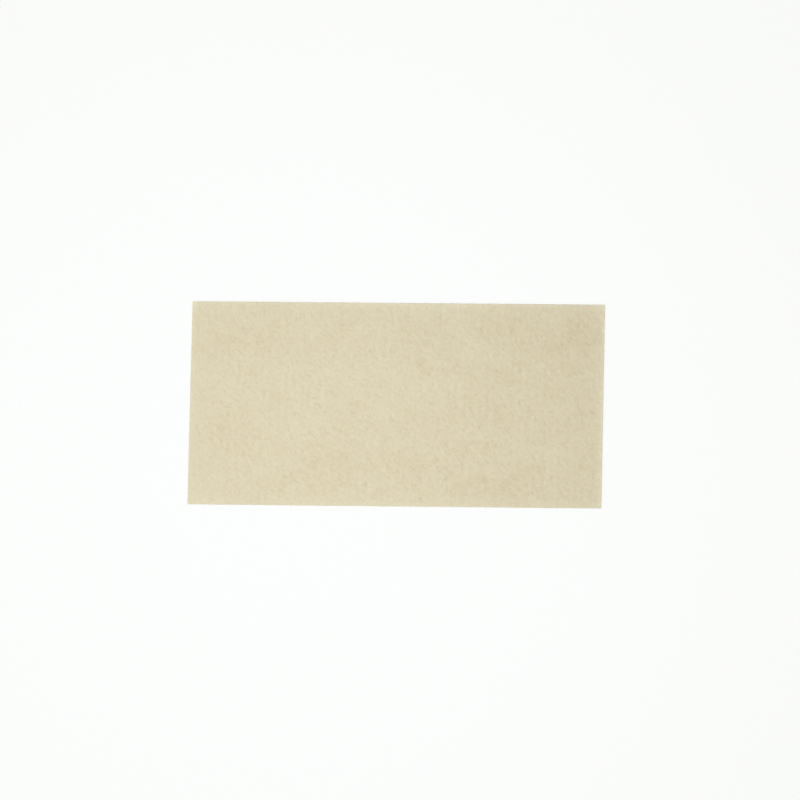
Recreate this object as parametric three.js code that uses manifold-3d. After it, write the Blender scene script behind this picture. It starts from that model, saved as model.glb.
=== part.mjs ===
// Alginate wound dressing: one flat rectangle of needle-punched felt, cut from a wide web.
//
// Millimetres, +Z up. The sheet lies face up on its flat underside, with the origin under the
// middle of its box. +X runs along the long side and +Y across it.
//
// The felt is one piece. Its form comes from how it is made: the web is a little thicker in some
// places than in others, the needles press rows of marks into it, and the blade that cuts it out
// on a flat bed rolls its upper edges down.

import * as THREE from "three";
import { mergeVertices } from "three/addons/utils/BufferGeometryUtils.js";
import Module from "manifold-3d";

// Outline, as the blade cut it
const LENGTH = 201.6; // along the middle of the sheet
const WIDTH = 99.2; // across the middle of the sheet
const FLARE = 0.38; // how much wider the +X end is than the -X end
const LEAN_BACK_END = 0.94; // degrees that the -X end leans from square
const LEAN_FRONT_END = 0.54; // degrees that the +X end leans from square

// Thickness
const LOFT = 2.4; // of the open felt
const CUT_EDGE = 1.95; // where the blade has pressed it
const ROLL_OFF = 3.6; // how far in from a cut the felt is rolled down

// Needling. The board punches two lines of marks in each repeat, and a ridge stays after them.
const BOARD_REPEAT = 7.886; // from one pair of lines to the next, along the sheet
const SECOND_LINE = 0.4; // where the second line lies, as a share of the repeat
const RIDGE = 0.72; // where the ridge lies, as a share of the repeat
const REACH = 0.1; // how far a mark or a ridge slopes to each side, as a share of the repeat
const STROKE = 2.232; // the web moves on by this much at each stroke, across the sheet
const MARK_DEPTH = 0.08; // of every other mark in a line
const RIDGE_HEIGHT = 0.07; // of every other tuft in a ridge
const FAINT = 0.3; // how strong the marks and tufts between those are, as a share of them

// Unevenness of the web
const CLOUD = 0.075; // how far thick and thin places lie from the loft on average
const CLOUD_WAVES = 6;
const CLOUD_LENGTH = 34; // of the longest wave
const CLOUD_SHORTER = 0.32; // how much more often each next wave repeats within that length
const CLOUD_TURN = 2.4; // radians from one wave's direction to the next one's
const TUFT = 0.035; // how far a single tuft stands up or lies down at most
const TUFT_MIX = [12.9898, 78.233, 43758.5453]; // unrelated numbers, which set the tufts apart

const FELT_COLOUR = 0xdbd1b4;

// Mesh
const EDGE_LINES = [0, 0.15, 0.35, 0.62, 1]; // across the rolled edge, as shares of it
const LINE_GAP = 0.8; // least distance from the edge's last line to the pattern's first
const TRIM = 2; // spare depth below the underside, cut away flat

const wasm = await Module();
wasm.setup();

// How much of the way from the cut height to the loft the felt has risen, at a share of ROLL_OFF.
function risen(share) {
  return 1 - (1 - Math.min(share, 1)) ** 2;
}

// A pattern that repeats every step from 0 to length, with a line at each of the shares of the step.
function repeats(length, step, shares) {
  const count = Math.ceil(length / step);
  return Array.from({ length: count }, (_, i) => shares.map((share) => (i + share) * step)).flat();
}

// Positions of the mesh lines: close together at both edges, and on the pattern in between.
function lines(length, pattern) {
  const edge = EDGE_LINES.map((share) => share * ROLL_OFF);
  const far = edge.map((position) => length - position).reverse();
  const first = ROLL_OFF + LINE_GAP;
  const inner = pattern.filter((position) => position > first && position < length - first);
  return [...edge, ...inner, ...far];
}

// Height that the needles leave at a place: two lines of marks and a ridge of tufts, each of them
// strong and faint by turns.
function needled(along, across) {
  const repeat = along / BOARD_REPEAT;
  const share = repeat - Math.floor(repeat);
  const stroke = Math.round(across / STROKE);
  const near = (place) => Math.max(0, 1 - Math.abs(share - place) / REACH);
  const strength = (turn) => (stroke % 2 === turn ? 1 : FAINT);
  const marks = strength(0) * Math.max(near(0), near(1)) + strength(1) * near(SECOND_LINE);
  return RIDGE_HEIGHT * strength(0) * near(RIDGE) - MARK_DEPTH * marks;
}

// Height of the thick and thin places: waves that turn and get shorter, so that they never repeat.
function cloud(x, y) {
  let sum = 0;
  for (let i = 0; i < CLOUD_WAVES; i++) {
    const wavelength = CLOUD_LENGTH / (1 + CLOUD_SHORTER * i);
    const turn = CLOUD_TURN * i;
    const along = x * Math.cos(turn) + y * Math.sin(turn);
    sum += Math.sin((2 * Math.PI * along) / wavelength + turn * i);
  }
  return CLOUD * Math.sqrt(2 / CLOUD_WAVES) * sum;
}

// Height of the tuft at a crossing of two mesh lines, the same every time.
function tuft(column, row) {
  const mixed = Math.sin(column * TUFT_MIX[0] + row * TUFT_MIX[1]) * TUFT_MIX[2];
  return TUFT * (2 * (mixed - Math.floor(mixed)) - 1);
}

// The sheet in plan: where a place on a true rectangle ends up in the outline that was cut.
function cutToShape(along, across) {
  const share = along / LENGTH;
  const fromMiddle = (across - WIDTH / 2) * (1 + (FLARE / WIDTH) * (share - 0.5));
  const leanBack = Math.tan(THREE.MathUtils.degToRad(LEAN_BACK_END)) * (1 - share);
  const leanFront = Math.tan(THREE.MathUtils.degToRad(LEAN_FRONT_END)) * share;
  return [along - LENGTH / 2 + fromMiddle * (leanBack + leanFront), fromMiddle];
}

function solidOf(geometry) {
  const bare = geometry.clone();
  bare.deleteAttribute("normal");
  bare.deleteAttribute("uv");
  const merged = mergeVertices(bare);
  return new wasm.Manifold(
    new wasm.Mesh({
      numProp: 3,
      vertProperties: merged.attributes.position.array,
      triVerts: new Uint32Array(merged.index.array),
    }),
  );
}

function geometryOf(solid) {
  const mesh = solid.getMesh();
  const geometry = new THREE.BufferGeometry();
  geometry.setAttribute("position", new THREE.BufferAttribute(mesh.vertProperties, 3));
  geometry.setIndex(new THREE.BufferAttribute(mesh.triVerts, 1));
  geometry.computeVertexNormals();
  return geometry;
}

// The block of felt: a box whose upper face is moved onto the felt's surface, crossing by crossing.
function feltBlock() {
  const columns = lines(LENGTH, repeats(LENGTH, BOARD_REPEAT, [0, SECOND_LINE, RIDGE]));
  const rows = lines(WIDTH, repeats(WIDTH, STROKE, [0]));
  const block = new THREE.BoxGeometry(1, 1, 1, columns.length - 1, rows.length - 1, 1);
  const position = block.attributes.position;
  for (let i = 0; i < position.count; i++) {
    const column = Math.round((position.getX(i) + 0.5) * (columns.length - 1));
    const row = Math.round((position.getY(i) + 0.5) * (rows.length - 1));
    const along = columns[column];
    const across = rows[row];
    const [x, y] = cutToShape(along, across);
    const fromEnd = Math.min(along, LENGTH - along);
    const fromSide = Math.min(across, WIDTH - across);
    const open = risen(fromEnd / ROLL_OFF) * risen(fromSide / ROLL_OFF);
    const felt = LOFT + cloud(x, y) + needled(along, across) + tuft(column, row);
    const top = CUT_EDGE + open * (felt - CUT_EDGE);
    position.setXYZ(i, x, y, position.getZ(i) > 0 ? top : -TRIM);
  }
  return solidOf(block);
}

// The bed that the sheet is cut on keeps its underside flat: everything below it is cut away.
function bed() {
  const slab = new THREE.BoxGeometry(2 * LENGTH, 2 * WIDTH, 2 * TRIM);
  slab.translate(0, 0, -TRIM);
  return solidOf(slab);
}

const felt = geometryOf(feltBlock().subtract(bed()));
felt.computeBoundingBox();
const middle = felt.boundingBox.getCenter(new THREE.Vector3());
felt.translate(-middle.x, -middle.y, 0);

const feltSheet = new THREE.Mesh(
  felt,
  new THREE.MeshStandardMaterial({ color: FELT_COLOUR, roughness: 0.95, metalness: 0 }),
);
feltSheet.name = "felt_sheet";

const dressing = new THREE.Group();
dressing.name = "alginate_dressing";
dressing.add(feltSheet);

export default dressing;
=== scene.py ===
# %% [markdown]
# # An alginate dressing
#
# The real object is one soft cream rectangle, 10 by 20 cm and a little over 2 mm thick. Seaweed
# fibres are laid into a thin slanting web, many layers of it are needled together into felt, and a
# blade cuts the felt to size. Nothing is sewn or printed on it. All that the eye has to go on is the
# felt itself: a slanting grain of fine tufts, faint rows of needle marks, cloudy thick and thin
# places, and a pressed edge that looks slightly paler, a paleness painted in here as light. So nearly
# all of this lesson is about felt.
#
# The imported CAD part is the frame. It has the size, the outline and the main relief, and
# everything made here lies on it. Blender works in metres, so lengths given in millimetres are
# multiplied by `MM`.

# %% Load the frame
import math

import bpy
import mathutils
import numpy as np
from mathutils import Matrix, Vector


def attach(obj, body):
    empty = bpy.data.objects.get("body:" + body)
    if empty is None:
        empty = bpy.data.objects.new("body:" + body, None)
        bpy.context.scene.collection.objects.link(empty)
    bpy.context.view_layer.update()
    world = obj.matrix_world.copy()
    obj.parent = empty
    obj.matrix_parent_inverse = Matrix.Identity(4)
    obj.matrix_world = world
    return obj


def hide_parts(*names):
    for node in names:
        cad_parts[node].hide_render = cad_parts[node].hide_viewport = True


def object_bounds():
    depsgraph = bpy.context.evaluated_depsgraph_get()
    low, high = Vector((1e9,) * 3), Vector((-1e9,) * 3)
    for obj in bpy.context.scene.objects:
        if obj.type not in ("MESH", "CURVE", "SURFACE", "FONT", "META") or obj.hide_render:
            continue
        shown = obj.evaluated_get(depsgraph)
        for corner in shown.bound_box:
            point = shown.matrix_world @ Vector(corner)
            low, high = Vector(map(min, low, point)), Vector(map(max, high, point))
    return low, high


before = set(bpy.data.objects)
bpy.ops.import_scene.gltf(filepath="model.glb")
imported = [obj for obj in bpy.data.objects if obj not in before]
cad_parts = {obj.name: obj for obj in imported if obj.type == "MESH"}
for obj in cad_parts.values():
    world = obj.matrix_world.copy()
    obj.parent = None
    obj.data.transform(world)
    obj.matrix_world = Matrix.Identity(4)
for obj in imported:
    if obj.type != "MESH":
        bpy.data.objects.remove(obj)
CAD_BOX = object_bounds()
MM = 0.001
print("frame nodes:", sorted(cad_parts))
print("frame box in mm:", [[round(c / MM, 2) for c in corner] for corner in CAD_BOX])

# %% [markdown]
# ## Small helpers
#
# An operator works on whatever is selected, so each step starts by selecting one object and
# nothing else. Moving thousands of vertices one by one is slow in Python. `foreach_get` and
# `foreach_set` copy all of them in one go to and from a numpy array.

# %% Helpers
def select_only(*objects):
    """Selects these objects and nothing else, and makes the first one active."""
    bpy.ops.object.select_all(action="DESELECT")
    for thing in objects:
        thing.select_set(True)
    bpy.context.view_layer.objects.active = objects[0]


def points_of(thing):
    """The places of an object's vertices, in metres, one row each."""
    points = np.empty(len(thing.data.vertices) * 3, np.float32)
    thing.data.vertices.foreach_get("co", points)
    return points.reshape(-1, 3).astype(float)


def move_points(thing, points):
    """Gives an object's vertices these places."""
    thing.data.vertices.foreach_set("co", points.astype(np.float32).ravel())
    thing.data.update()


def triangles_in(thing):
    """How many triangles an object's faces make."""
    thing.data.calc_loop_triangles()
    return len(thing.data.loop_triangles)


# %% [markdown]
# ## The outline
#
# The blade cut the sheet a little out of square, and the frame has that outline. Its four corners
# are found as the points that reach furthest towards each diagonal. `on_sheet` then turns a place
# on the sheet into a place in plan: 0 to 1 along the sheet and 0 to 1 across it are blended
# between the corners. `find_on_sheet` goes the other way. The outline is so nearly a rectangle
# that a few corrections are enough.

# %% Outline of the sheet
CORRECTIONS = 6


def corners_in_plan(node):
    """The corners of a CAD node seen from above: -X -Y, +X -Y, +X +Y and -X +Y."""
    plan = points_of(node)[:, :2]
    diagonals = np.array([(-1, -1), (1, -1), (1, 1), (-1, 1)])
    return np.array([plan[(plan @ diagonal).argmax()] for diagonal in diagonals])


CORNERS = corners_in_plan(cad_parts["felt_sheet"])
LENGTH = float(np.linalg.norm(CORNERS[1:3].mean(0) - CORNERS[[0, 3]].mean(0)))
WIDTH = float(np.linalg.norm(CORNERS[2:].mean(0) - CORNERS[:2].mean(0)))


def on_sheet(along, across):
    """Places in plan of places on the sheet, both given as shares from 0 to 1."""
    along, across = np.asarray(along)[..., None], np.asarray(across)[..., None]
    near = CORNERS[0] * (1 - along) + CORNERS[1] * along
    far = CORNERS[3] * (1 - along) + CORNERS[2] * along
    return near * (1 - across) + far * across


def find_on_sheet(plan):
    """Shares along and across the sheet of places in plan."""
    shares = np.full(plan.shape, 0.5)
    for _ in range(CORRECTIONS):
        shares += (plan - on_sheet(shares[:, 0], shares[:, 1])) / (LENGTH, WIDTH)
    return shares


print("corners in mm:", (CORNERS / MM).round(2).tolist())
print("length and width in mm:", round(LENGTH / MM, 2), round(WIDTH / MM, 2))

# %% [markdown]
# ## The upper face: a grid laid on the frame
#
# The upper face needs quads of about half a millimetre, fine enough for a tuft to be a real bump.
# It starts as a grid primitive that is stretched to the outline. A Shrinkwrap modifier then drops
# it straight down onto the frame, as if it were laid there, so it takes on the rolled edges and
# the thick and thin places. The grid is held in by a hair, because a ray that falls exactly on
# the edge can miss.

# %% Lay a grid on the frame
TOP_COLUMNS, TOP_ROWS = 400, 196
HELD_IN = 0.9998
DROPPED_FROM = 10 * MM


def add_sheet_grid(name, columns, rows, height, share=1.0):
    """A grid in the sheet's outline at a height. A share under 1 holds it in from the cut."""
    bpy.ops.mesh.primitive_grid_add(x_subdivisions=columns, y_subdivisions=rows, size=1)
    grid = bpy.context.object
    grid.name = grid.data.name = name
    points = points_of(grid)
    plan = on_sheet(points[:, 0] + 0.5, points[:, 1] + 0.5)
    middle = CORNERS.mean(0)
    points[:, :2] = middle + (plan - middle) * share
    points[:, 2] = height
    move_points(grid, points)
    return grid


felt = add_sheet_grid("felt", TOP_COLUMNS, TOP_ROWS, DROPPED_FROM, HELD_IN)
select_only(felt)
drop = felt.modifiers.new("drop", "SHRINKWRAP")
drop.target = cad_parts["felt_sheet"]
drop.wrap_method = "PROJECT"
drop.use_project_z = True
drop.use_positive_direction = False
drop.use_negative_direction = True
bpy.ops.object.modifier_apply(modifier=drop.name)

laid = points_of(felt)
shares = find_on_sheet(laid[:, :2])
columns = (shares[:, 0] * TOP_COLUMNS).round().astype(int)
rows = (shares[:, 1] * TOP_ROWS).round().astype(int)
frame_height = np.empty((TOP_ROWS + 1, TOP_COLUMNS + 1))
frame_height[rows, columns] = laid[:, 2] / MM
print("laid on the frame, heights in mm:", frame_height.min().round(3), frame_height.max().round(3))

# %% [markdown]
# ## Kinds of unevenness
#
# Felt is uneven at several scales at once, so its relief is a sum of height maps on the same grid
# as the upper face. `blurred` softens a map and keeps its slope at the borders. `slanted_noise`
# makes streaks: it takes plain noise apart into waves and keeps the ones that are long one way and
# short the other. Every random number comes from one seeded generator, so each run gives the same
# felt.

# %% Height maps
STEP = (WIDTH / MM / TOP_ROWS, LENGTH / MM / TOP_COLUMNS)
SHAPE = frame_height.shape
random = np.random.default_rng(20)


def blurred(field, size):
    """A map softened over a size in mm."""
    for axis in (0, 1):
        reach = int(3 * size / STEP[axis]) + 1
        places = np.arange(-reach, reach + 1) * STEP[axis]
        weights = np.exp(-0.5 * (places / size) ** 2)
        weights /= weights.sum()
        padding = [(reach, reach) if a == axis else (0, 0) for a in (0, 1)]
        padded = np.pad(field, padding, mode="reflect", reflect_type="odd")
        field = sum(
            weight * np.take(padded, range(i, i + SHAPE[axis]), axis)
            for i, weight in enumerate(weights)
        )
    return field


def slanted_noise(angle, along, across):
    """Streaks at an angle in degrees above +X, with their length and width as blur sizes in mm."""
    turn = math.radians(angle)
    down = np.fft.fftfreq(SHAPE[0], STEP[0])[:, None]
    right = np.fft.rfftfreq(SHAPE[1], STEP[1])[None, :]
    with_grain = right * math.cos(turn) + down * math.sin(turn)
    over_grain = down * math.cos(turn) - right * math.sin(turn)
    kept = np.exp(-2 * (math.pi * along * with_grain) ** 2 - 2 * (math.pi * across * over_grain) ** 2)
    waves = np.fft.rfft2(random.standard_normal(SHAPE)) * kept
    field = np.fft.irfft2(waves, SHAPE)
    return (field - field.mean()) / field.std()


print("map step in mm:", [round(s, 3) for s in STEP])

# %% [markdown]
# ## The grain
#
# The web was laid at a slant, so the tufts lie from upper left to lower right. On real felt the
# slant wanders from place to place. Five sets of streaks at different slants are made, and each
# place takes most of its grain from one of them, chosen by slow noise. The same choice gives the
# local slant of the fibres that are laid on top later.

# %% Slanting tufts
GRAIN = -46  # degrees above +X, seen from above
WANDER = np.array((-44, -22, 0, 22, 44))  # slants of the five sets, in degrees from the grain
WANDER_KEPT = 17  # the smaller this is, the more seldom a place takes a far slant
PATCH = (3.2, 2.6)  # length and width of a place with one slant, as blur sizes in mm
CLEARLY_CHOSEN = 2.0

choice = np.stack([slanted_noise(0, *PATCH) - abs(turn) / WANDER_KEPT for turn in WANDER])
choice = np.exp(CLEARLY_CHOSEN * choice)
local_grain = GRAIN + (choice * WANDER[:, None, None]).sum(0) / choice.sum(0)


def wandering_grain(along, across):
    """Streaks of this length and width in mm whose slant wanders from place to place."""
    parts = choice / np.sqrt((choice**2).sum(0))
    layers = [slanted_noise(GRAIN + turn, along, across) for turn in WANDER]
    return sum(part * layer for part, layer in zip(parts, layers))


tufts = wandering_grain(0.85, 0.28)
fine_tufts = wandering_grain(0.42, 0.16)
wide_tufts = wandering_grain(1.9, 0.8)
loft = slanted_noise(0, 6, 3.4)
print("slant in degrees:", [round(float(f(local_grain)), 1) for f in (np.min, np.mean, np.max)])

# %% [markdown]
# ## The needle marks
#
# Barbed needles are punched through the web to tangle it. Each leaves a shallow dimple, and some
# pull up a small tuft beside it. The needle board repeats every 7.9 mm along the sheet, and the
# web moves on 4.5 mm while it does, so the marks lie on a lattice. They are stamped into a map one
# at a time, each with its own depth and a little out of place, so that no two repeats look alike.

# %% Needle marks
BOARD = (7.886, 4.464)
# share along the repeat, share across it, relative height, half length along and across in mm
STAMPS = (
    (0.00, 0.25, -1.0, 0.55, 0.80),
    (0.02, 0.85, -0.9, 0.50, 0.75),
    (0.38, 0.22, -0.8, 0.55, 0.70),
    (0.42, 0.68, -0.9, 0.55, 0.80),
    (0.72, 0.20, 1.1, 0.70, 1.00),
    (0.15, 0.10, 0.6, 0.60, 0.70),
    (0.15, 0.62, 0.6, 0.60, 0.70),
)
OUT_OF_PLACE = 0.28  # mm, how far a mark strays
STAMP_STRENGTH = (0.3, 1.4)
STAMP_REACH = 3  # mm, beyond which a stamp has faded to nothing


def needle_marks():
    """A map of all the stamps, before it is scaled to a height."""
    field = np.zeros(SHAPE)
    down = np.arange(SHAPE[0])[:, None] * STEP[0]
    right = np.arange(SHAPE[1])[None, :] * STEP[1]
    for i in range(-1, int(LENGTH / MM / BOARD[0]) + 2):
        for j in range(-1, int(WIDTH / MM / BOARD[1]) + 2):
            for share_x, share_y, height, half_x, half_y in STAMPS:
                x = (i + share_x) * BOARD[0] + random.normal(0, OUT_OF_PLACE)
                y = (j + 1 - share_y) * BOARD[1] + random.normal(0, OUT_OF_PLACE)
                height = height * random.uniform(*STAMP_STRENGTH)
                first, last = [max(int((x + way * STAMP_REACH) / STEP[1]), 0) for way in (-1, 1)]
                low, high = [max(int((y + way * STAMP_REACH) / STEP[0]), 0) for way in (-1, 1)]
                window = (slice(low, high), slice(first, last))
                off_x = (right[:, window[1]] - x) / half_x
                off_y = (down[window[0]] - y) / half_y
                field[window] += height * np.exp(-0.5 * (off_x**2 + off_y**2))
    return field


needling = needle_marks()
print("needling, highest and lowest:", needling.max().round(2), needling.min().round(2))

# %% [markdown]
# ## Rows of marks
#
# Here and there, more in some rows than in others, the marks of one line run together into a thin
# groove across the sheet. Noise that is long across the sheet decides where. Only its highest
# parts count, and only on the two lines of each board repeat.

# %% Grooves
GROOVE_LINES = (0.0, 0.4)  # as shares of the board repeat
GROOVE_HALF_WIDTH = 0.3
GROOVE_PATCH = (2.6, 1.2)
GROOVE_FROM = 0.2  # how high the noise must be before a groove shows
GROOVE_STRAYS = 0.15
GROOVE_STRENGTH = (0.4, 1.6)


def grooves():
    """A map of the grooves, before it is scaled to a height."""
    places = np.arange(SHAPE[1]) * STEP[1]
    strength = np.clip(slanted_noise(90, *GROOVE_PATCH) - GROOVE_FROM, 0, None)
    field = np.zeros(SHAPE)
    for i in range(int(LENGTH / MM / BOARD[0]) + 1):
        for share in GROOVE_LINES:
            line = (i + share) * BOARD[0] + random.normal(0, GROOVE_STRAYS)
            off = (places - line) / GROOVE_HALF_WIDTH
            field -= strength * np.exp(-0.5 * off**2) * random.uniform(*GROOVE_STRENGTH)
    return field


grooving = grooves()
print("grooves, deepest:", grooving.min().round(2))

# %% [markdown]
# ## The relief of the upper face
#
# Now the maps are added up, each with its own height in millimetres. Near a cut the blade has
# pressed the felt, so the relief fades to about half there. `from_cut` is how far each place is
# from the nearest cut. The felt also gets a little rougher towards the right end.

# %% Add the relief up
RELIEF = (  # map and height in mm
    (tufts, 0.026),
    (fine_tufts, 0.012),
    (wide_tufts, 0.016),
    (loft, 0.032),
    (needling, 0.032),
    (grooving, 0.035),
)
PRESSED = 0.5  # how much of the relief is left at a cut
PRESSED_TO = 3.0  # mm from a cut
ROUGH_AT_LEFT, ROUGHER_BY = 0.88, 0.26
FRAME_SOFTNESS = 2.0
OVER_FRAME = 0.05  # mm that a tuft may stand over the frame's highest point

down_shares = np.linspace(0, 1, SHAPE[0])[:, None]
right_shares = np.linspace(0, 1, SHAPE[1])[None, :]
from_cut = np.minimum(
    np.minimum(down_shares, 1 - down_shares) * WIDTH / MM,
    np.minimum(right_shares, 1 - right_shares) * LENGTH / MM,
)
open_share = PRESSED + (1 - PRESSED) * np.clip(from_cut / PRESSED_TO, 0, 1)
rougher = ROUGH_AT_LEFT + ROUGHER_BY * right_shares
felt_height = blurred(frame_height, FRAME_SOFTNESS)
felt_height += open_share * rougher * sum(height * field for field, height in RELIEF)
felt_height = np.minimum(felt_height, CAD_BOX[1].z / MM + OVER_FRAME)

laid[:, :2] = on_sheet(shares[:, 0].round(6), shares[:, 1].round(6))
laid[:, 2] = felt_height[rows, columns] * MM
move_points(felt, laid)
print("felt height in mm:", felt_height.min().round(3), felt_height.max().round(3))

# %% [markdown]
# ## The cut edge
#
# The blade leaves a wall not quite 2 mm high. The border of the grid is extruded down in five
# steps, and the last one is scaled flat onto the floor. The rim between the upper face and the
# wall is soft on real felt, so its edges are bevelled round. The new vertices come after those of
# the grid, so the rim is still found by the rows and columns of the grid.

# %% Extrude the walls and round the rim
WALL_STEPS = 5
WALL_STEP = 0.35 * MM
RIM_ROUND = 0.22 * MM

select_only(felt)
bpy.ops.object.mode_set(mode="EDIT")
bpy.ops.mesh.select_all(action="SELECT")
bpy.ops.mesh.region_to_loop()
for _ in range(WALL_STEPS):
    bpy.ops.mesh.extrude_edges_move(TRANSFORM_OT_translate={"value": (0, 0, -WALL_STEP)})
bpy.ops.transform.resize(value=(1, 1, 0), center_override=(0, 0, 0))
bpy.ops.mesh.select_all(action="DESELECT")
bpy.ops.mesh.select_mode(type="EDGE")
bpy.ops.object.mode_set(mode="OBJECT")

on_rim = (rows % TOP_ROWS == 0) | (columns % TOP_COLUMNS == 0)
rim_edges = 0
for edge in felt.data.edges:
    edge.select = max(edge.vertices) < len(on_rim) and all(on_rim[list(edge.vertices)])
    rim_edges += edge.select
bpy.ops.object.mode_set(mode="EDIT")
bpy.ops.mesh.bevel(offset=RIM_ROUND, segments=2, affect="EDGES")
bpy.ops.object.mode_set(mode="OBJECT")
print("rim edges:", rim_edges, "and after the bevel:", triangles_in(felt), "triangles")

# %% [markdown]
# ## The underside
#
# The underside lies on the wound and is hardly seen, so a coarser grid is enough. It is held in
# about half a millimetre and joined to the sheet. Fill then closes the narrow gap between the two
# open borders. It copes with borders that have different numbers of edges and keeps the gap flat.
# Now the felt is one closed skin, and its normals are made to point outwards.

# %% Close the underside
UNDER_COLUMNS, UNDER_ROWS = 100, 49
UNDER_HELD_IN = 0.994
underside = add_sheet_grid("underside", UNDER_COLUMNS, UNDER_ROWS, 0, UNDER_HELD_IN)
select_only(felt, underside)
bpy.ops.object.join()
bpy.ops.object.mode_set(mode="EDIT")
bpy.ops.mesh.select_all(action="DESELECT")
bpy.ops.mesh.select_mode(type="EDGE")
bpy.ops.mesh.select_non_manifold(extend=False)
bpy.ops.mesh.fill(use_beauty=True)
bpy.ops.mesh.select_all(action="SELECT")
bpy.ops.mesh.remove_doubles(threshold=0.001 * MM)
bpy.ops.mesh.normals_make_consistent(inside=False)
bpy.ops.mesh.select_all(action="DESELECT")
bpy.ops.mesh.select_non_manifold(extend=False)
bpy.ops.object.mode_set(mode="OBJECT")
open_edges = sum(edge.select for edge in felt.data.edges)
print("felt closed:", triangles_in(felt), "triangles,", open_edges, "open edges")

# %% [markdown]
# ## A rough cut
#
# Cut felt is never quite smooth, so each vertex of the wall is pushed in by up to 0.15 mm at
# random, and those of the underside are raised a little off the floor. The rim stays where it is,
# so the sheet keeps its outline from above. A vertex is on the wall when it lies at a cut, and
# each wall is pushed straight in, along X or along Y.

# %% Roughen the cut and the underside
AT_CUT = 0.02 * MM
WALL_TOP = 1.65 * MM  # below the rounded rim
PUSHED_IN = 0.15 * MM
ON_FLOOR = 0.01 * MM
RAISED = 0.12 * MM
RAISED_FROM = 0.3 * MM  # from a cut
SHARP = math.radians(50)

points = points_of(felt)
shares = find_on_sheet(points[:, :2])
edge_distance = np.minimum(
    np.minimum(shares[:, 0], 1 - shares[:, 0]) * LENGTH,
    np.minimum(shares[:, 1], 1 - shares[:, 1]) * WIDTH,
)
in_wall = (edge_distance < AT_CUT) & (points[:, 2] < WALL_TOP)
outward = points[:, :2] - CORNERS.mean(0)
at_end = np.minimum(shares[:, 0], 1 - shares[:, 0]) * LENGTH < AT_CUT
outward = np.where(at_end[:, None], outward * (1, 0), outward * (0, 1))
outward /= np.maximum(np.linalg.norm(outward, axis=1, keepdims=True), 1e-9)
points[in_wall, :2] -= outward[in_wall] * random.uniform(0, PUSHED_IN, in_wall.sum())[:, None]
underneath = (points[:, 2] < ON_FLOOR) & (edge_distance > RAISED_FROM)
points[underneath, 2] += random.uniform(0, RAISED, underneath.sum())
move_points(felt, points)
select_only(felt)
bpy.ops.object.shade_smooth_by_angle(angle=SHARP)
print("wall points:", int(in_wall.sum()), "underside points:", int(underneath.sum()))

# %% [markdown]
# ## A flat map of the skin
#
# A texture can only be baked onto a skin that is laid out flat in a square. The felt is nearly
# flat already, so its upper face is laid out as it lies, in the lower half of the square. The
# walls are four long strips above it, drawn out to 2.5 times their height, and the underside
# lies above those at three quarters of its size.

# %% Lay out the UV map
WALL_STARTS = ((0.01, 0.50), (0.01, 0.53), (0.01, 0.56), (0.51, 0.56))  # front, back, left, right
STRIP_STRETCH = 2.5
STRIP_LENGTH = 0.96
UNDER_START, UNDER_SIZE = np.array((0.01, 0.60)), 0.75
FACES_UP, FLOOR_GAP = 0.5, 0.2 * MM


def lay_out(thing):
    """Writes a UV map that keeps the upper face, each wall and the underside apart."""
    mesh = thing.data
    places = points_of(thing)
    plan = find_on_sheet(places[:, :2]) * (1, WIDTH / LENGTH)
    up = places[:, 2] / LENGTH * STRIP_STRETCH
    from_sides = np.stack([plan[:, 1], WIDTH / LENGTH - plan[:, 1], plan[:, 0], 1 - plan[:, 0]])
    while mesh.uv_layers:
        mesh.uv_layers.remove(mesh.uv_layers[0])
    layer = mesh.uv_layers.new(name="OFBake")
    uv = np.empty((len(mesh.loops), 2))
    for face in mesh.polygons:
        corners = list(face.vertices)
        loops = list(face.loop_indices)
        if face.normal.z > FACES_UP:
            uv[loops] = plan[corners]
        elif face.normal.z < -FACES_UP and places[corners, 2].max() < FLOOR_GAP:
            uv[loops] = UNDER_START + UNDER_SIZE * plan[corners]
        else:
            side = from_sides[:, corners].sum(1).argmin()
            run = plan[corners, side // 2] * STRIP_LENGTH
            uv[loops] = WALL_STARTS[side] + np.stack([run, up[corners]], 1)
    layer.data.foreach_set("uv", uv.clip(0, 1).astype(np.float32).ravel())
    return uv


uv = lay_out(felt)
print("flat map from", uv.min(0).round(3), "to", uv.max(0).round(3))

# %% [markdown]
# ## What the material needs to know
#
# The relief is far too shallow to show the felt by its shadows alone, so the same maps are added up
# once more, now as a tone, and written on the vertices as a number, about 0 for a hollow and 1 for a
# tuft. Part of it is the felt's own uneven colour: tufts of loose fibres are a little paler and the
# hollows between them a little yellower. Part of it is painted shade in the hollows, dimples and
# grooves and painted light on the tufts, where the relief alone gives too little. A second number,
# `painted_edge_light`, is painted light: a pale band along each cut, which stands in for light
# through the thin edge and off the white floor, and at the right end for light that the edge's slope
# misses. It is strongest at a cut, is halved every 1.7 mm, and differs from side to side as in the
# photograph.

# %% Tone, painted shade and painted edge light as vertex attributes
CLOUDS = (12, 7)  # length and width of the cloudy places, as blur sizes in mm
# the tone maps: the felt's own uneven colour, and painted shade and painted light that follow the
# relief
TONES_AND_SHADE = (  # map and how strongly it shows
    (tufts, 0.070),
    (fine_tufts, 0.140),
    (wide_tufts, 0.029),
    (loft, 0.044),
    (slanted_noise(0, *CLOUDS), 0.047),
    (needling, 0.042),
    (grooving, 0.085),
)
# painted shade in the hollows and painted light on the tufts, on top of the felt's own tone; like the
# relief it grows stronger towards the right end
tone_and_shade = 0.5 + rougher * sum(strength * field for field, strength in TONES_AND_SHADE)

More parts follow.
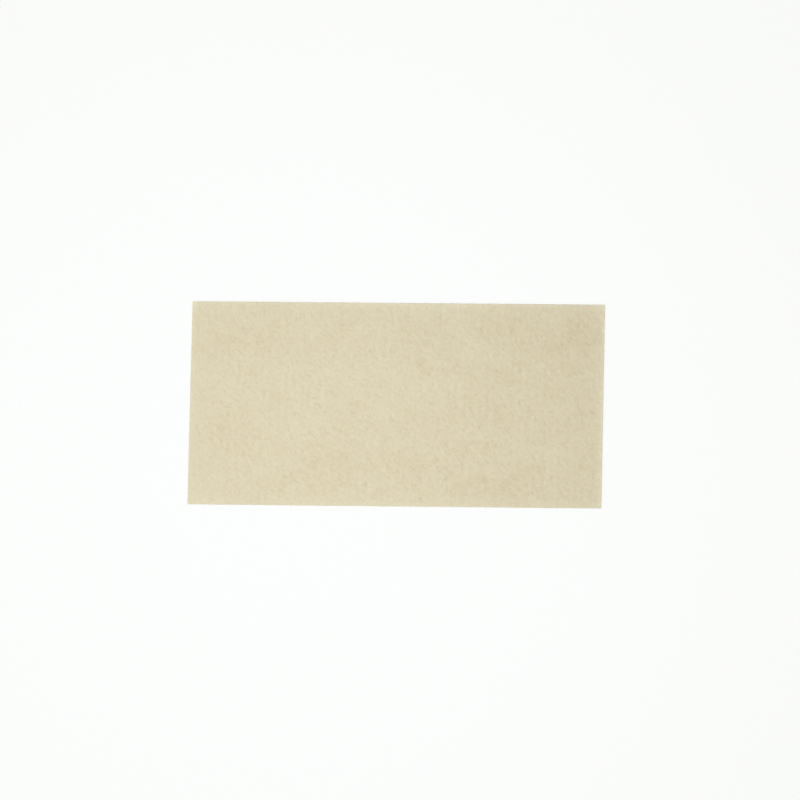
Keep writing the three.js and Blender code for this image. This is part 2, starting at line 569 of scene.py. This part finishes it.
EDGE_LIGHT_HALF = 1.7  # the distance in mm over which the painted pale band of light loses half its strength
SIDES = (  # distance from each cut in mm, and how strongly the painted light shows there
    (right_shares * LENGTH / MM, 0.56),
    ((1 - right_shares) * LENGTH / MM, 1.45),
    (down_shares * WIDTH / MM, 0.50),
    ((1 - down_shares) * WIDTH / MM, 0.95),
)
# painted light: a pale band along each cut, strongest at the right end
painted_edge_light = sum(strength * 0.5 ** (distance / EDGE_LIGHT_HALF) for distance, strength in SIDES)
WALL_TONE, WALL_SPREAD = 0.35, 0.18  # the cut fibre ends let light in, so the wall is deeper


def value_at(field, places):
    """Reads a map at places given as shares, blending between the four nearest points."""
    across = np.clip(places[:, 1], 0, 1) * (SHAPE[0] - 1)
    along = np.clip(places[:, 0], 0, 1) * (SHAPE[1] - 1)
    row = np.minimum(across.astype(int), SHAPE[0] - 2)
    column = np.minimum(along.astype(int), SHAPE[1] - 2)
    over, past = across - row, along - column
    near = field[row, column] * (1 - past) + field[row, column + 1] * past
    far = field[row + 1, column] * (1 - past) + field[row + 1, column + 1] * past
    return near * (1 - over) + far * over


def give(thing, name, values):
    """Writes one number on each vertex, for a material to read by this name."""
    attribute = thing.data.attributes.new(name, "FLOAT", "POINT")
    attribute.data.foreach_set("value", np.asarray(values, np.float32))


shares = find_on_sheet(points_of(felt)[:, :2])
felt_tone_and_shade, felt_painted_edge_light = value_at(tone_and_shade, shares), value_at(painted_edge_light, shares)
felt_tone_and_shade[in_wall] = random.normal(WALL_TONE, WALL_SPREAD, in_wall.sum())
felt_painted_edge_light[in_wall | underneath] = 0
give(felt, "tone_and_shade", felt_tone_and_shade)
give(felt, "painted_edge_light", felt_painted_edge_light)
print("tone:", tone_and_shade.min().round(3), "to", tone_and_shade.max().round(3), "spread", tone_and_shade.std().round(3))

# %% [markdown]
# ## One fibre, and thousands of copies
#
# What makes felt look like felt from close by is its fibres. One fibre is modelled on its own: a
# three-sided cylinder with closed ends, cut across in three places so that it can bend. It stands on
# the origin, one unit high and one unit in radius. Everything else about a copy, its path, thickness
# and taper, is worked out when the copy is laid.

# %% Model one fibre
FIBRE_SIDES = 3
FIBRE_CUTS = 3
RINGS = FIBRE_CUTS + 2

bpy.ops.object.select_all(action="DESELECT")
bpy.ops.mesh.primitive_cylinder_add(vertices=FIBRE_SIDES, radius=1, depth=1, location=(0, 0, 0.5))
one_fibre = bpy.context.object
select_only(one_fibre)
bpy.ops.object.transform_apply(location=True, rotation=False, scale=False)
for edge in one_fibre.data.edges:
    low, high = (one_fibre.data.vertices[i].co.z for i in edge.vertices)
    edge.select = abs(low - high) > 0.5
for thing in (*one_fibre.data.vertices, *one_fibre.data.polygons):
    thing.select = False
bpy.ops.object.mode_set(mode="EDIT")
bpy.ops.mesh.select_mode(type="EDGE")
bpy.ops.mesh.subdivide(number_cuts=FIBRE_CUTS)
bpy.ops.object.mode_set(mode="OBJECT")

pattern = points_of(one_fibre)
ring_of = (pattern[:, 2] * (RINGS - 1)).round().astype(int)
side_of = (np.degrees(np.arctan2(pattern[:, 1], pattern[:, 0])) % 360 / 120).round(2)
side_of = np.searchsorted(np.unique(side_of), side_of)
pattern_faces = [list(face.vertices) for face in one_fibre.data.polygons]
bpy.data.objects.remove(one_fibre)
print("one fibre:", len(pattern), "vertices,", len(pattern_faces), "faces")

# %% [markdown]
# ## Laying fibres
#
# A path gives the middle of each ring of a fibre. From the path's own direction and the vertical
# come a sideways and an upward direction at each ring, and the three-sided ring is set out along
# those two. A fibre that is matted down in the felt is flattened, so that it catches the light
# from above over most of its width. All copies are worked out in one go. Each also gets its own
# small cell in the UV map, so that a texture can be baked from the material later.

# %% Lay the copies
TAPER = np.array((0.4, 1, 1, 0.9, 0.35))
CELL_MARGIN = 0.08


def fibre_cells(count):
    """UV places for every corner of every face: one cell per fibre, unrolled flat."""
    corners = []
    for face in pattern_faces:
        sides = [side_of[v] for v in face]
        if len(face) == FIBRE_SIDES:
            corners += [(CELL_MARGIN * (s == 1), CELL_MARGIN * (s == 2)) for s in sides]
            continue
        wraps = {0, FIBRE_SIDES - 1} == set(sides)
        turns = [FIBRE_SIDES if wraps and s == 0 else s for s in sides]
        heights = [ring_of[v] / (RINGS - 1) for v in face]
        span = 1 - 2 * CELL_MARGIN
        corners += [
            (CELL_MARGIN + span * t / FIBRE_SIDES, CELL_MARGIN + span * h)
            for t, h in zip(turns, heights)
        ]
    grid = math.ceil(math.sqrt(count))
    cells = np.stack(np.divmod(np.arange(count), grid), 1)
    return (cells[:, None] + np.array(corners)[None]).reshape(-1, 2) / grid


def lay_fibres(name, paths, radii, shades, flatness=1.0):
    """One mesh of fibres. Paths are in metres, with one row of ring middles for each fibre."""
    ahead = np.gradient(paths, axis=1)
    ahead /= np.linalg.norm(ahead, axis=2, keepdims=True)
    sideways = np.cross(ahead, (0, 0, 1))
    sideways /= np.linalg.norm(sideways, axis=2, keepdims=True)
    upward = np.cross(sideways, ahead)
    turns = 2 * math.pi * side_of / FIBRE_SIDES + math.pi / 2
    width = radii[:, None] * TAPER[ring_of]
    places = paths[:, ring_of]
    places = places + sideways[:, ring_of] * (width * np.cos(turns))[..., None]
    places = places + upward[:, ring_of] * (flatness * width * np.sin(turns))[..., None]
    count, size = len(paths), len(pattern)
    faces = [[v + i * size for v in face] for i in range(count) for face in pattern_faces]
    mesh = bpy.data.meshes.new(name)
    mesh.from_pydata(places.reshape(-1, 3), [], faces)
    fibres = bpy.data.objects.new(name, mesh)
    bpy.context.scene.collection.objects.link(fibres)
    give(fibres, "shade", shades[:, ring_of].ravel())
    cells = mesh.uv_layers.new(name="OFBake")
    cells.data.foreach_set("uv", fibre_cells(count).astype(np.float32).ravel())
    select_only(fibres)
    bpy.ops.object.mode_set(mode="EDIT")
    bpy.ops.mesh.select_all(action="SELECT")
    bpy.ops.mesh.normals_make_consistent(inside=False)
    bpy.ops.object.mode_set(mode="OBJECT")
    bpy.ops.object.shade_smooth()
    print(name, "has", count, "fibres and", triangles_in(fibres), "triangles")
    return fibres


# %% [markdown]
# ## Fibres on the upper face
#
# The fibres follow the local slant of the felt, give or take some degrees, and curl a little. Both
# ends dip into the felt, so none ends in the air. A fibre that would reach over a cut is drawn in
# towards its middle, as the blade would have cut it. There are three layers, each a piece of its
# own to keep the meshes small: long fibres lying flat, shorter ones on top, and a few loose hairs
# that stand up in low loops.

# %% Paths over the felt
RISE = np.array((-1.0, 0.5, 1.0, 0.6, -1.0))
SUNK = 0.05
ALONG = np.linspace(-0.5, 0.5, RINGS)
ENDS_IN = 0.003  # no fibre has its middle nearer to a cut than this share of the sheet
WITHIN = 0.001
JITTER = 8  # the curl is this many times as large as the jitter from ring to ring
MATTED = 0.45  # height of a flattened fibre as a share of its width
PAINTED_FIBRE_LIGHT = 0.25  # painted light: how much paler a fibre is made than the felt that it lies on, as if lit while the felt between stays in shade


def paths_over_felt(count, lengths, spread, curl, lift):
    """Paths in metres. Lengths and lift are in mm, the spread and the curl in degrees."""
    middles = random.uniform(ENDS_IN, 1 - ENDS_IN, (count, 2))
    slant = value_at(local_grain, middles) + random.normal(0, spread, count)
    turns = slant[:, None] + random.normal(0, curl, count)[:, None] * ALONG
    turns = np.radians(turns + random.normal(0, curl / JITTER, (count, RINGS)))
    step = random.uniform(*lengths, count)[:, None] * MM / (RINGS - 1)
    plan = np.cumsum(np.stack([step * np.cos(turns), step * np.sin(turns)], 2), 1)
    plan -= plan.mean(1, keepdims=True)
    centre = on_sheet(middles[:, 0], middles[:, 1])[:, None]
    for _ in range(3):
        places = find_on_sheet((centre + plan).reshape(-1, 2)).reshape(count, RINGS, 2)
        outside = ((places < WITHIN) | (places > 1 - WITHIN)).any((1, 2))
        plan[outside] *= 0.5
    kept = ~outside
    plan = (centre + plan)[kept]
    places = find_on_sheet(plan.reshape(-1, 2))
    height = value_at(felt_height, places).reshape(-1, RINGS)
    lifted = np.where(RISE > 0, RISE * random.uniform(*lift, kept.sum())[:, None], RISE * SUNK)
    return np.concatenate([plan, ((height + lifted) * MM)[..., None]], 2)


def shades_for(paths, spread):
    """A shade for each ring: the felt's tone under it, with its painted shade and painted edge light,
    and the fibre's own shade, which includes painted light, added.
    """
    places = find_on_sheet(paths[..., :2].reshape(-1, 2))
    # painted light: each fibre is made paler than the felt under it; the spread is the fibre's own
    # shade
    own_and_painted_light = random.normal(PAINTED_FIBRE_LIGHT, spread, (len(paths), 1))
    # the felt's painted shade and the painted light along the cut are carried onto the fibres
    under = value_at(tone_and_shade, places) + value_at(painted_edge_light, places)
    return under.reshape(-1, RINGS) + own_and_painted_light


def face_fibres(name, count, lengths, spread, curl, lift, radius, shade_spread):
    """A layer of fibres on the upper face. Lengths, lift and radius are ranges in mm."""
    paths = paths_over_felt(count, lengths, spread, curl, lift)
    radii = random.uniform(*radius, len(paths)) * MM
    return lay_fibres(name, paths, radii, shades_for(paths, shade_spread), MATTED)


# name, count, lengths, spread, curl, lift, radius, spread of the shade
LAYERS = (
    ("flat_fibres", 7200, (2, 5), 24, 40, (0.0, 0.02), (0.03, 0.05), 0.22),
    ("top_fibres", 7200, (1.2, 3.5), 34, 60, (0.005, 0.03), (0.025, 0.045), 0.25),
    ("loose_hairs", 1500, (1.5, 4), 60, 90, (0.08, 0.3), (0.012, 0.02), 0.2),
)
flat_fibres, top_fibres, loose_hairs = [face_fibres(*layer) for layer in LAYERS]

# %% [markdown]
# ## Fibres at the cut
#
# The blade leaves a wall of cut fibre ends. Most lie along the wall and a few stand out by up to
# 0.2 mm, which makes the edge soft to the eye but leaves it straight. They are spread evenly
# around the outline, at all heights of the wall.

# %% Cut ends
CUT_ENDS = 5200
EDGES = ((0, 1), (1, 2), (2, 3), (3, 0))
# all of these are in mm
STAND_OUT = 0.22
SUNK_IN = 0.06
RUN_ALONG, CLIMB = 0.6, 0.15
ABOVE_FLOOR, BELOW_RIM = 0.03, 0.02
CUT_END_RADIUS = (0.015, 0.035)
# and these are shares of the edge's length, of the wall's height and of half a turn
FEET, HEIGHTS, BOWS = (0.002, 0.998), (0.05, 0.97), (0.6, 1.0)


def paths_at_cut(count):
    """Paths in metres of fibres that bow out of the cut wall."""
    lengths = np.array([np.linalg.norm(CORNERS[b] - CORNERS[a]) for a, b in EDGES])
    which = random.choice(len(EDGES), count, p=lengths / lengths.sum())
    start, end = CORNERS[[EDGES[w][0] for w in which]], CORNERS[[EDGES[w][1] for w in which]]
    tangent = (end - start) / np.linalg.norm(end - start, axis=1, keepdims=True)
    outward = np.stack([tangent[:, 1], -tangent[:, 0]], 1)
    foot = start + (end - start) * random.uniform(*FEET, count)[:, None]
    wall = value_at(felt_height, find_on_sheet(foot))
    height = random.uniform(*HEIGHTS, count) * wall
    run = random.normal(0, RUN_ALONG, count)
    out = np.abs(random.normal(0, STAND_OUT / 2, count)).clip(0, STAND_OUT)
    climb = random.normal(0, CLIMB, count)
    steps = np.linspace(0, 1, RINGS)
    reach = np.sin(steps * math.pi * random.uniform(*BOWS, count)[:, None])
    plan = foot[:, None] + MM * (
        tangent[:, None] * (run[:, None] * (steps - 0.5))[..., None]
        + outward[:, None] * (out[:, None] * reach - SUNK_IN)[..., None]
    )
    z = height[:, None] + climb[:, None] * steps
    z = z.clip(ABOVE_FLOOR, (wall - BELOW_RIM)[:, None]) * MM
    return np.concatenate([plan, z[..., None]], 2)


CUT_END_SHADES = 0.2
paths = paths_at_cut(CUT_ENDS)
radii = random.uniform(*CUT_END_RADIUS, CUT_ENDS) * MM
cut_ends = lay_fibres("cut_ends", paths, radii, shades_for(paths, CUT_END_SHADES))

# %% [markdown]
# ## Colours
#
# The felt is a warm cream. Its colours are given as the share of red, green and blue light that the
# felt sends back, which is what a shader works with. Between a tuft and a hollow each of them changes
# by less than a tenth; part of that is painted shade in the hollows and painted light on the tufts.
# In proportion blue changes most, because light that has passed through more fibres comes back
# yellower.

# %% Felt colours
CREAM = np.array((0.753, 0.6655, 0.4615))
YELLOWING = np.array((0.85, 1.18, 1.72))  # how much more each colour changes than the whole
TONE_RANGE = 0.06  # as a share of the cream


def cream(change):
    """The felt's colour, made paler or deeper by a share."""
    return (*(CREAM * (1 + change * YELLOWING)), 1)


# the deeper colour carries painted shade in the hollows, the paler one painted light on the tufts
SHADED_HOLLOW, LIT_TUFT = cream(-TONE_RANGE), cream(TONE_RANGE)
print("hollow", [round(float(c), 3) for c in SHADED_HOLLOW], "tuft", [round(float(c), 3) for c in LIT_TUFT])

# %% [markdown]
# ## Node groups
#
# Felt and fibres share their finish, so each effect is a node group that is built once.
# `fibre_grain` gives fine slanting streaks: plain noise, with its coordinates turned to the grain
# and squeezed along it. `fibre_mat` is for a closer look: thin strands that cross each other at
# several slants. Ridged noise has thin crests, and squeezed along one direction they become
# strands. The coordinates are first bent by a softer noise, so that the strands curl. Where
# strands cross, the higher one lies on top, so the layers are joined with Maximum.

# %% Build the groups
def new_group(name, inputs, outputs):
    """An empty node group with these sockets, and its input and output nodes."""
    group = bpy.data.node_groups.new(name, "ShaderNodeTree")
    for label, value in inputs:
        socket = group.interface.new_socket(label, in_out="INPUT", socket_type="NodeSocketFloat")
        socket.default_value = value
    for label in outputs:
        group.interface.new_socket(label, in_out="OUTPUT", socket_type="NodeSocketFloat")
    return group, group.nodes.new("NodeGroupInput"), group.nodes.new("NodeGroupOutput")


def calculate(tree, operation, *values):
    """A Math node. Each value is a number or the socket that it comes from."""
    node = tree.nodes.new("ShaderNodeMath")
    node.operation = operation
    for socket, value in zip(node.inputs, values):
        if isinstance(value, (int, float)):
            socket.default_value = value
        else:
            tree.links.new(value, socket)
    return node.outputs[0]


def fibre_grain_group():
    """Fine streaks along the grain, as plain noise and as thin crests."""
    group, given, result = new_group(
        "fibre_grain", (("Fibre Width", 0.2), ("Stretch", 5.0)), ("Grain", "Fuzz")
    )
    place = group.nodes.new("ShaderNodeTexCoord")
    turn = group.nodes.new("ShaderNodeMapping")
    turn.vector_type = "TEXTURE"
    turn.inputs["Rotation"].default_value = (0, 0, math.radians(GRAIN))
    squeeze = group.nodes.new("ShaderNodeCombineXYZ")
    squeeze.inputs["Y"].default_value = 1
    squeeze.inputs["Z"].default_value = 0.5
    group.links.new(given.outputs["Stretch"], squeeze.inputs["X"])
    group.links.new(squeeze.outputs["Vector"], turn.inputs["Scale"])
    group.links.new(place.outputs["Object"], turn.inputs["Vector"])
    scale = calculate(group, "DIVIDE", 1 / MM, given.outputs["Fibre Width"])
    for label, kind, detail in (("Grain", "FBM", 3), ("Fuzz", "RIDGED_MULTIFRACTAL", 2)):
        noise = group.nodes.new("ShaderNodeTexNoise")
        noise.noise_type = kind
        noise.normalize = True
        noise.inputs["Detail"].default_value = detail
        noise.inputs["Distortion"].default_value = 0.6
        group.links.new(turn.outputs["Vector"], noise.inputs["Vector"])
        group.links.new(scale, noise.inputs["Scale"])
        group.links.new(noise.outputs[0], result.inputs[label])
    return group


STRAND_SLANTS = (-38, -12, 14, 40)  # degrees from the grain
BEND_SIZE = 2.5 * MM  # from one bend to the next
BEND = 1.4 * MM  # how far a bend pushes a strand aside


def fibre_mat_group():
    """Curling strands that cross at several slants, the highest one on top."""
    group, given, result = new_group(
        "fibre_mat", (("Fibre Width", 0.1), ("Stretch", 14.0)), ("Strands",)
    )
    place = group.nodes.new("ShaderNodeTexCoord")
    bends = group.nodes.new("ShaderNodeTexNoise")
    bends.inputs["Scale"].default_value = 1 / BEND_SIZE
    bends.inputs["Detail"].default_value = 1
    group.links.new(place.outputs["Object"], bends.inputs["Vector"])
    bent = group.nodes.new("ShaderNodeVectorMath")
    bent.operation = "MULTIPLY_ADD"
    bent.inputs[1].default_value = (BEND, BEND, 0)
    group.links.new(bends.outputs["Color"], bent.inputs[0])
    group.links.new(place.outputs["Object"], bent.inputs[2])
    squeeze = group.nodes.new("ShaderNodeCombineXYZ")
    squeeze.inputs["Y"].default_value = 1
    squeeze.inputs["Z"].default_value = 1
    group.links.new(given.outputs["Stretch"], squeeze.inputs["X"])
    scale = calculate(group, "DIVIDE", 1 / MM, given.outputs["Fibre Width"])
    highest = 0
    for slant in STRAND_SLANTS:
        turn = group.nodes.new("ShaderNodeMapping")
        turn.vector_type = "TEXTURE"
        turn.inputs["Rotation"].default_value = (0, 0, math.radians(GRAIN + slant))
        # each slant reads the noise at another height, so that no two layers are alike
        turn.inputs["Location"].default_value = (0, 0, slant * MM)
        group.links.new(squeeze.outputs["Vector"], turn.inputs["Scale"])
        group.links.new(bent.outputs["Vector"], turn.inputs["Vector"])
        noise = group.nodes.new("ShaderNodeTexNoise")
        noise.noise_type = "RIDGED_MULTIFRACTAL"
        noise.normalize = True
        noise.inputs["Detail"].default_value = 0
        group.links.new(turn.outputs["Vector"], noise.inputs["Vector"])
        group.links.new(scale, noise.inputs["Scale"])
        highest = calculate(group, "MAXIMUM", highest, noise.outputs[0])
    group.links.new(highest, result.inputs["Strands"])
    return group


fibre_grain = fibre_grain_group()
fibre_mat = fibre_mat_group()
for group in (fibre_grain, fibre_mat):
    print("group:", group.name, "with", len(group.nodes), "nodes")

# %% [markdown]
# ## The two materials
#
# Both mix between the hollow and the tuft colour, which carry painted shade and painted light as well
# as the felt's own tone. The felt takes its tone from the vertices, adds the fine grain and the
# strands, and grows paler along the cuts, where light is painted in. The strands are also its bump.
# The fibres take their tone from their own shade, which carries painted light too. Felt is matt and a
# little velvety: the sheen, which is the same all over, is set on the shader itself.

# %% Build the materials
def start_material(name, roughness):
    """A matt material with a little sheen, its nodes and its shader."""
    material = bpy.data.materials.new(name)
    material.use_nodes = True
    shader = material.node_tree.nodes["Principled BSDF"]
    shader.inputs["Roughness"].default_value = roughness
    shader.inputs["Specular IOR Level"].default_value = 0.25
    shader.inputs["Sheen Weight"].default_value = 0.12
    shader.inputs["Sheen Roughness"].default_value = 0.6
    shader.inputs["Sheen Tint"].default_value = LIT_TUFT
    return material, material.node_tree, shader


def attribute_of(tree, name):
    """The number that was written on the vertices under this name."""
    node = tree.nodes.new("ShaderNodeAttribute")
    node.attribute_name = name
    return node.outputs["Fac"]


def use_group(tree, group, **values):
    """A group node with these values, and what it gives."""
    node = tree.nodes.new("ShaderNodeGroup")
    node.node_tree = group
    for label, value in values.items():
        node.inputs[label.replace("_", " ")].default_value = value
    return node.outputs


def colour_by_tone(tree, shader, factor):
    """Colours the shader from the shaded hollow at 0 to the lit tuft at 1, and on beyond both; that
    shade and light are painted.
    """
    mix = tree.nodes.new("ShaderNodeMix")
    mix.data_type = "RGBA"
    mix.clamp_factor = False
    mix.inputs["A"].default_value = SHADED_HOLLOW
    mix.inputs["B"].default_value = LIT_TUFT
    tree.links.new(factor, mix.inputs["Factor"])
    tree.links.new(mix.outputs["Result"], shader.inputs["Base Color"])


def add_bump(tree, shader, height, strength, depth):
    """Lets a pattern of heights from 0 to 1 raise the surface to the eye."""
    bump = tree.nodes.new("ShaderNodeBump")
    bump.inputs["Strength"].default_value = strength
    bump.inputs["Distance"].default_value = depth
    tree.links.new(height, bump.inputs["Height"])
    tree.links.new(bump.outputs["Normal"], shader.inputs["Normal"])


# width in mm, stretch, average and how strongly it shows
GRAIN_LOOK = (0.16, 5.0, 0.5, 0.6)
STREAKS_LOOK = (0.7, 2.6, 0.5, 1.1)
STRANDS_LOOK = (0.1, 14.0, 0.195, 1.6)
BUMP_STRENGTH, BUMP_DEPTH = 0.5, 0.06 * MM


def felt_material():
    """The skin of the felt: tone with painted shade, grain, strands and the painted pale band of
    light along the cut.
    """
    material, tree, shader = start_material("alginate_felt", 0.95)
    factor = attribute_of(tree, "tone_and_shade")
    for group, output, (width, stretch, average, shows) in (
        (fibre_grain, "Grain", GRAIN_LOOK),
        (fibre_grain, "Grain", STREAKS_LOOK),
        (fibre_mat, "Strands", STRANDS_LOOK),
    ):
        pattern = use_group(tree, group, Fibre_Width=width, Stretch=stretch)[output]
        centred = calculate(tree, "SUBTRACT", pattern, average)
        factor = calculate(tree, "MULTIPLY_ADD", centred, shows, factor)
    # painted light: the pale band along the cut
    factor = calculate(tree, "ADD", factor, attribute_of(tree, "painted_edge_light"))
    colour_by_tone(tree, shader, factor)
    add_bump(tree, shader, pattern, BUMP_STRENGTH, BUMP_DEPTH)
    return material


FIBRE_LOOK = (0.05, 0.5, 0.2)  # width in mm, average and how strongly it shows
FIBRE_ROUGH, FIBRE_ROUGHER = 0.75, 0.1


def fibre_material():
    """The modelled fibres: their own shade with its painted light, a little uneven."""
    material, tree, shader = start_material("alginate_fibre", 0.8)
    width, average, shows = FIBRE_LOOK
    grain = use_group(tree, fibre_grain, Fibre_Width=width)
    centred = calculate(tree, "SUBTRACT", grain["Grain"], average)
    factor = calculate(tree, "MULTIPLY_ADD", centred, shows, attribute_of(tree, "shade"))
    colour_by_tone(tree, shader, factor)
    rough = calculate(tree, "MULTIPLY_ADD", grain["Fuzz"], FIBRE_ROUGHER, FIBRE_ROUGH)
    tree.links.new(rough, shader.inputs["Roughness"])
    return material


felt.data.materials.append(felt_material())
FIBRE = fibre_material()
FIBRE_PIECES = [flat_fibres, top_fibres, loose_hairs, cut_ends]
for piece in FIBRE_PIECES:
    piece.data.materials.append(FIBRE)
print("materials:", [material.name for material in bpy.data.materials])

# %% [markdown]
# ## Floor
#
# The dressing was photographed from straight above on overexposed white. The floor glows a little
# of its own light and only a tenth of what it shows is reflected, so it stays evenly white and
# keeps a faint shadow under the edge.

# %% Floor
FLOOR_WHITE = (0.978, 0.992, 0.978, 1)
FLOOR_GREY = (0.1, 0.1, 0.1, 1)
FLOOR_GLOW = 0.9
FLOOR_RADIUS = 12  # metres, so far that its rim is lost in the pale room
FLOOR_DROP = 0.02 * MM  # so that the floor and the underside never share a plane

bpy.ops.mesh.primitive_circle_add(
    vertices=96, radius=FLOOR_RADIUS, fill_type="NGON", location=(0, 0, -FLOOR_DROP)
)
floor = bpy.context.object
floor.name = "floor"
floor_material = bpy.data.materials.new("floor")
floor_material.use_nodes = True
floor_shader = floor_material.node_tree.nodes["Principled BSDF"]
floor_shader.inputs["Base Color"].default_value = FLOOR_GREY
floor_shader.inputs["Roughness"].default_value = 1
floor_shader.inputs["Specular IOR Level"].default_value = 0
floor_shader.inputs["Emission Color"].default_value = FLOOR_WHITE
floor_shader.inputs["Emission Strength"].default_value = FLOOR_GLOW
floor.data.materials.append(floor_material)
print("floor radius in metres:", FLOOR_RADIUS)

# %% [markdown]
# ## Light
#
# The picture is lit softly from everywhere, most of all from overhead and left of the middle,
# which is why the sheet falls off to a warmer and darker cream at its right end. Here that is a
# pale room, a softbox hung low over the left half, and a weak second one from the lower left,
# which rakes over the tufts. The room is a little yellow and the overhead softbox a little blue,
# so the cream turns warmer where the overhead light falls off.

# %% Room and softboxes
ROOM_LIGHT, ROOM_STRENGTH = (1.08, 1, 0.80, 1), 0.44
ROOM_SEEN = (0.93, 0.94, 0.92, 1)  # what the camera sees beyond the floor
OVERHEAD = (-0.046, -0.028)

world = bpy.data.worlds.new("soft_room")
bpy.context.scene.world = world
world.use_nodes = True
room = world.node_tree
light = room.nodes["Background"]
light.inputs["Color"].default_value = ROOM_LIGHT
light.inputs["Strength"].default_value = ROOM_STRENGTH
seen = room.nodes.new("ShaderNodeBackground")
seen.inputs["Color"].default_value = ROOM_SEEN
either = room.nodes.new("ShaderNodeMixShader")
rays = room.nodes.new("ShaderNodeLightPath")
room.links.new(rays.outputs["Is Camera Ray"], either.inputs["Fac"])
room.links.new(light.outputs["Background"], either.inputs[1])
room.links.new(seen.outputs["Background"], either.inputs[2])
room.links.new(either.outputs["Shader"], room.nodes["World Output"].inputs["Surface"])


def add_softbox(name, place, aim, width, watts, colour=(1, 1, 1)):
    """A square area light that points from its place at its aim, and isn't seen itself."""
    bpy.ops.object.light_add(type="AREA", location=place)
    box = bpy.context.object
    box.name = name
    box.data.shape = "SQUARE"
    box.data.size = width
    box.data.energy = watts
    box.data.color = colour
    box.visible_camera = False
    direction = mathutils.Vector(aim) - box.location
    box.rotation_euler = direction.to_track_quat("-Z", "Y").to_euler()
    return box


add_softbox("overhead_softbox", (*OVERHEAD, 0.35), (*OVERHEAD, 0), 0.3, 0.80, (0.90, 1, 1.24))
add_softbox("raking_softbox", (-0.6, -0.5, 0.5), (0, 0, 0), 0.35, 0.65)

# %% [markdown]
# ## Camera
#
# A long lens straight above the sheet, as far away as the picture needs. The photograph is turned
# by half a degree and the sheet lies a little off its middle, so the camera is too. The frame
# width is what the picture takes in at the height of the cut edge.

# %% Camera
LENS = 100
SENSOR = 36
FRAME_WIDTH = 390.2 * MM
ROLL = math.radians(0.541)
AIM = (1.775 * MM, 2.295 * MM)
CUT_HEIGHT = 1.95 * MM

camera = bpy.data.objects.new("camera", bpy.data.cameras.new("camera"))
bpy.context.scene.collection.objects.link(camera)
bpy.context.scene.camera = camera
camera.data.lens = LENS
camera.data.sensor_width = SENSOR
camera.location = (*AIM, CUT_HEIGHT + FRAME_WIDTH * LENS / SENSOR)
camera.rotation_euler = (0, 0, ROLL)
bpy.context.scene.view_settings.view_transform = "Standard"
print("camera height in mm:", round(camera.location.z / MM, 1))

# %% [markdown]
# ## Hand over
#
# The felt stands for the CAD node and the fibres ride along with it. The sheet was cut at 99.2 by
# 201.6 mm and is laid flat.

# %% Hand over
for piece in (felt, *FIBRE_PIECES):
    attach(piece, "root")
    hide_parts("felt_sheet")
